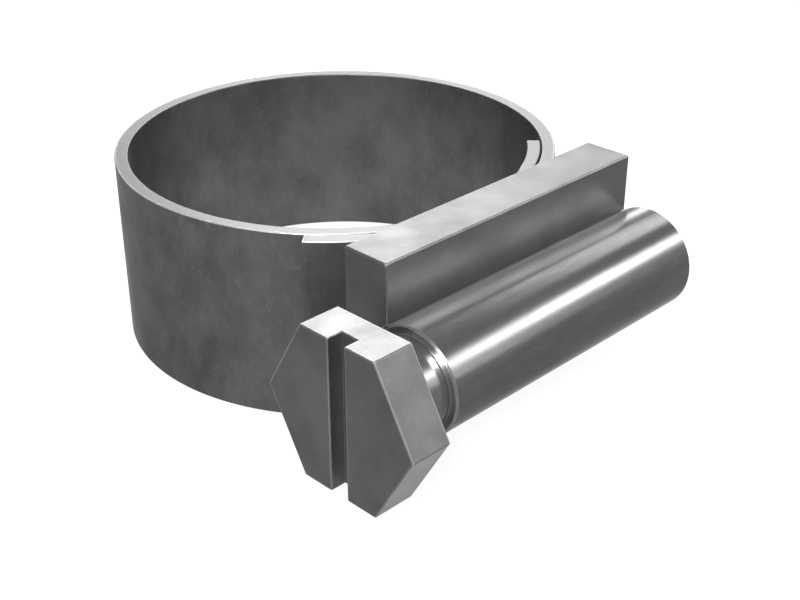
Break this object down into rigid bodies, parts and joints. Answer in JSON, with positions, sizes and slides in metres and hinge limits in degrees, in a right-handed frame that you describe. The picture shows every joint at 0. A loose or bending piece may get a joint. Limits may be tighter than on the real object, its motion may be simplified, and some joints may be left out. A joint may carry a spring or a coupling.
{
  "type": "hose clip",
  "caption": "Worm-drive hose clip: a steel strip looped round the hose through a bridge block, drawn tight by a slotted hexagon-head worm screw in a barrel.",
  "frame": {"origin": "the point of the hose axis in the plane that the clip lies on, which is the lower face of the bridge", "axes": "+Z along the hose axis, +X along the screw from its head to its far end, +Y from the screw to the ring"},
  "size_m": [0.0323, 0.0395, 0.0135],
  "materials": {
    "strip_steel": "dull rolled steel strip",
    "bridge_steel": "dull steel",
    "barrel_steel": "polished steel",
    "screw_steel": "dull steel"
  },
  "bodies": {
    "clip": {"band": "strip_steel", "bridge": "bridge_steel", "barrel": "barrel_steel"},
    "screw": {"worm_screw": "screw_steel"}
  },
  "joints": [
    {"name": "screw_spin", "type": "hinge", "parent": "clip", "child": "screw", "pos_m": [0, -0.01862, 0.00675], "axis": [1, 0, 0], "continuous": true, "deforming": ["band"]}
  ]
}
